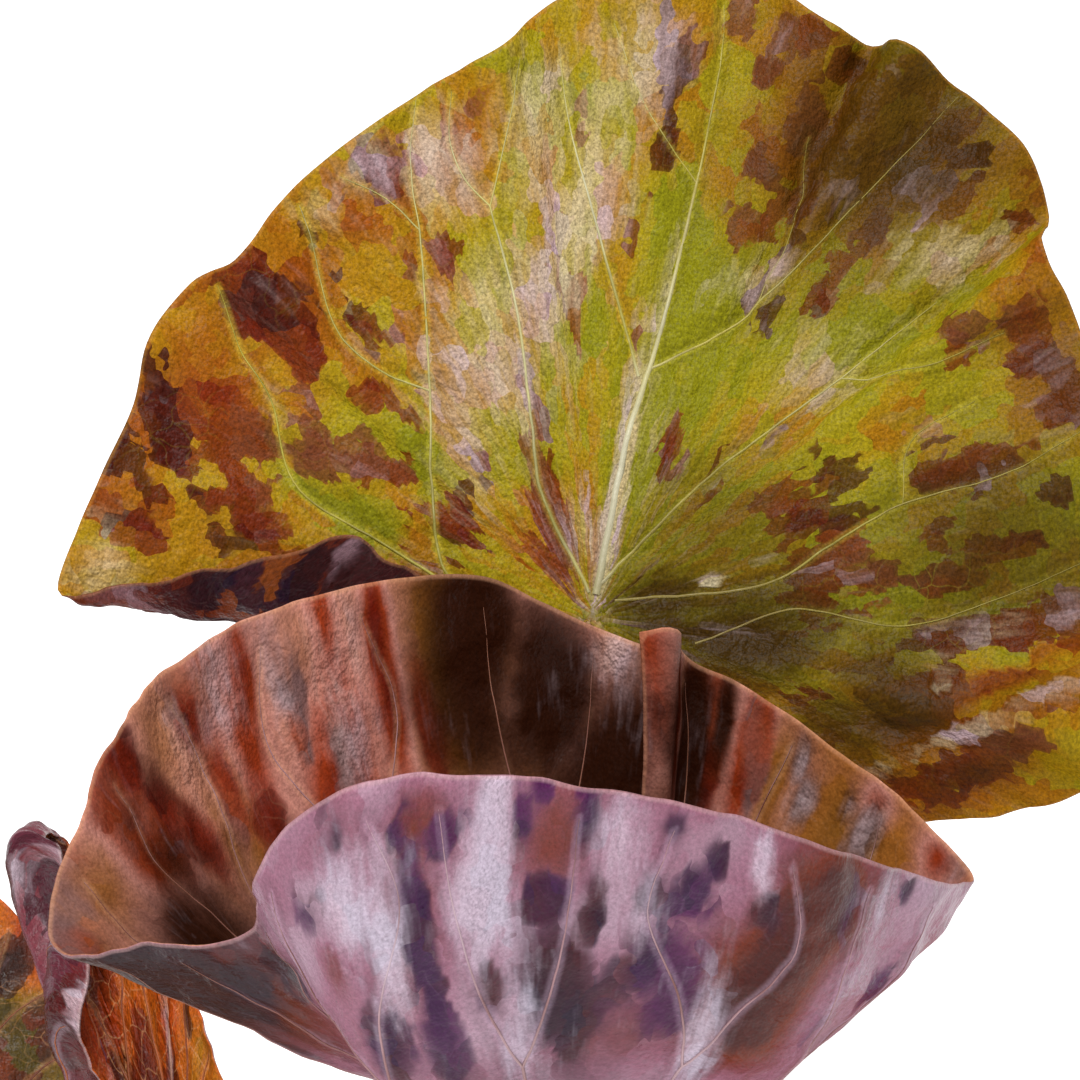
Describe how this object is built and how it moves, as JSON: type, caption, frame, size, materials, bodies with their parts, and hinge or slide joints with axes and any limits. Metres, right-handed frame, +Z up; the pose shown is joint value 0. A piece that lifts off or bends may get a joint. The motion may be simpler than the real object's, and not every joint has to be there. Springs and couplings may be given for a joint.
{
  "type": "tiger lotus plant",
  "caption": "Tiger lotus plant with ruffled, mottled, heart-shaped blades on arching stalks, cut off flat under its crown.",
  "frame": {"origin": "centre of the flat cut under the crown", "axes": "+Z up from the cut; +Y the way that the picture's camera looks, with +X to its right"},
  "size_m": [0.2152, 0.1926, 0.1817],
  "materials": {
    "blade_green": "waxy wet leaf, yellow-green to ochre with maroon mottling",
    "blade_mauve": "waxy wet leaf, tan and mauve inside, lilac with maroon mottling outside",
    "blade_rust": "waxy wet leaf, orange-red to olive with maroon mottling",
    "stalk": "smooth red-brown stalk",
    "crown": "rough dark brown stem base with leaf scars, pale where it was cut"
  },
  "bodies": {
    "root": {"leaf_back": "blade_green", "leaf_front": "blade_mauve", "leaf_left_curled": "blade_rust", "leaf_left_open": "blade_rust", "leaf_right": "blade_rust", "leaf_front_left": "blade_rust", "leaf_front_right": "blade_rust", "leaf_rear": "blade_rust", "stalk_back": "stalk", "stalk_front": "stalk", "stalk_left_curled": "stalk", "stalk_left_open": "stalk", "stalk_right": "stalk", "stalk_front_left": "stalk", "stalk_front_right": "stalk", "stalk_rear": "stalk", "crown": "crown"}
  },
  "joints": []
}
